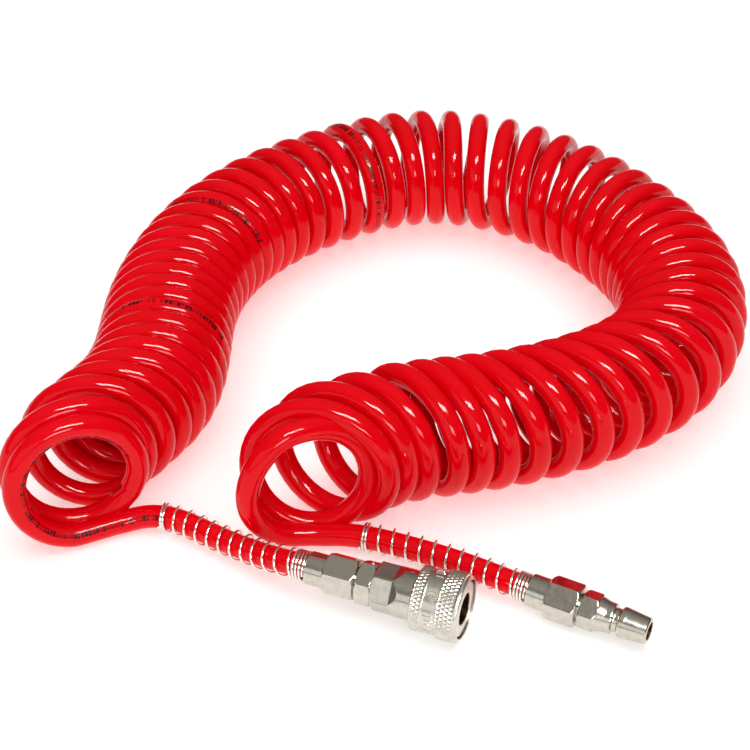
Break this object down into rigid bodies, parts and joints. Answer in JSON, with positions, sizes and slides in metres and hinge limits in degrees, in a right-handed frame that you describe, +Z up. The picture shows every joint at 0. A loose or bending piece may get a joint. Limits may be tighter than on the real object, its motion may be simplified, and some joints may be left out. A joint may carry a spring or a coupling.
{
  "type": "coiled air hose",
  "caption": "Polyurethane recoil air hose wound into a long coil, with a quick-coupler socket on one end, a plug on the other and a wire bend guard at each.",
  "frame": {"origin": "on the floor under the middle of the whole hose as it lies", "axes": "+Z up, +X along the socket from the hose to its mouth, -Y towards both open ends"},
  "size_m": [0.3015, 0.3687, 0.0661],
  "materials": {
    "hose": "glossy",
    "nickel": "polished",
    "brass": "machined",
    "spring_steel": "bright drawn wire",
    "seal": "matte"
  },
  "bodies": {
    "hose": {"hose_coil": "hose", "hose_lead_socket": "hose", "hose_lead_plug": "hose", "socket_spring_guard": "spring_steel", "plug_spring_guard": "spring_steel", "socket_hose_nut": "nickel", "plug_hose_nut": "nickel", "socket_adapter": "nickel", "adapter_gasket": "seal", "socket_body": "nickel", "sleeve_snap_ring": "spring_steel", "socket_seal": "seal", "sleeve_spring": "spring_steel", "valve_spring": "spring_steel", "plug_body": "nickel"},
    "sleeve": {"socket_sleeve": "nickel"},
    "ball_1": {"lock_ball_1": "spring_steel"},
    "ball_2": {"lock_ball_2": "spring_steel"},
    "ball_3": {"lock_ball_3": "spring_steel"},
    "ball_4": {"lock_ball_4": "spring_steel"},
    "ball_5": {"lock_ball_5": "spring_steel"},
    "ball_6": {"lock_ball_6": "spring_steel"},
    "valve": {"valve_poppet": "brass", "valve_seal": "seal"}
  },
  "joints": [
    {"name": "sleeve_slide", "type": "slide", "parent": "hose", "child": "sleeve", "axis": [-1, 0, 0], "range_m": [0, 0.0045], "stiffness_N_per_m": 2500, "deforming": ["sleeve_spring"]},
    {"name": "ball_1_slide", "type": "slide", "parent": "hose", "child": "ball_1", "axis": [0, -0.5, 0.866], "range_m": [0, 0.0009]},
    {"name": "ball_2_slide", "type": "slide", "parent": "hose", "child": "ball_2", "axis": [0, -1, 0], "range_m": [0, 0.0009]},
    {"name": "ball_3_slide", "type": "slide", "parent": "hose", "child": "ball_3", "axis": [0, -0.5, -0.866], "range_m": [0, 0.0009]},
    {"name": "ball_4_slide", "type": "slide", "parent": "hose", "child": "ball_4", "axis": [0, 0.5, -0.866], "range_m": [0, 0.0009]},
    {"name": "ball_5_slide", "type": "slide", "parent": "hose", "child": "ball_5", "axis": [0, 1, 0], "range_m": [0, 0.0009]},
    {"name": "ball_6_slide", "type": "slide", "parent": "hose", "child": "ball_6", "axis": [0, 0.5, 0.866], "range_m": [0, 0.0009]},
    {"name": "valve_slide", "type": "slide", "parent": "hose", "child": "valve", "axis": [-1, 0, 0], "range_m": [0, 0.003], "stiffness_N_per_m": 1500, "deforming": ["valve_spring"]}
  ],
  "couplings": [
    {"joint": "ball_1_slide", "follows": "sleeve_slide", "ratio": 0.2},
    {"joint": "ball_2_slide", "follows": "sleeve_slide", "ratio": 0.2},
    {"joint": "ball_3_slide", "follows": "sleeve_slide", "ratio": 0.2},
    {"joint": "ball_4_slide", "follows": "sleeve_slide", "ratio": 0.2},
    {"joint": "ball_5_slide", "follows": "sleeve_slide", "ratio": 0.2},
    {"joint": "ball_6_slide", "follows": "sleeve_slide", "ratio": 0.2}
  ]
}
